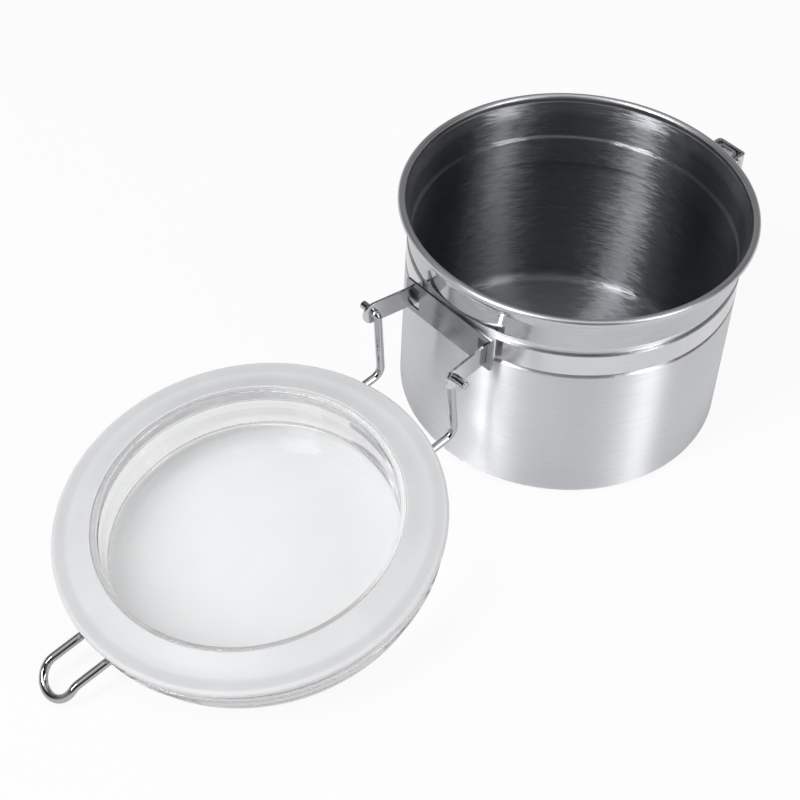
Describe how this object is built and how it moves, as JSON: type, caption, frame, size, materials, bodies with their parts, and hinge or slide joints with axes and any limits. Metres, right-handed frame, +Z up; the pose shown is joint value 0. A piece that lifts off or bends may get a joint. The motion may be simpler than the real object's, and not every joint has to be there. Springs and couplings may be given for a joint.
{
  "type": "food canister",
  "caption": "Round steel food canister with a clear hinged lid, sealing gasket, wire bail on a clamp band and a swing-up front latch.",
  "frame": {"origin": "middle of the canister's flat base, on the table", "axes": "+Z up along the canister's axis, hinge towards -X, latch towards +X"},
  "size_m": [0.3256, 0.1346, 0.0892],
  "materials": {
    "pot_steel": "satin, brushed",
    "band_steel": "polished",
    "wire_steel": "polished",
    "clear_lid": "clear, polished",
    "frosted_gasket": "translucent, matt"
  },
  "bodies": {
    "canister": {"canister_body": "pot_steel", "clamp_band": "band_steel", "hinge_plate": "band_steel", "latch_bracket": "band_steel", "latch_pin": "wire_steel"},
    "lid_group": {"lid": "clear_lid", "lid_gasket": "frosted_gasket", "bail_wire": "wire_steel"},
    "lever": {"latch_lever": "band_steel"}
  },
  "joints": [
    {"name": "lid_hinge", "type": "hinge", "parent": "canister", "child": "lid_group", "pos_m": [-0.0773, 0, 0.0657], "axis": [0, 1, 0], "range_deg": [0, 189.51]},
    {"name": "latch_hinge", "type": "hinge", "parent": "canister", "child": "lever", "pos_m": [0.0815, 0, 0.0689], "axis": [0, -1, 0], "range_deg": [0, 159]}
  ]
}
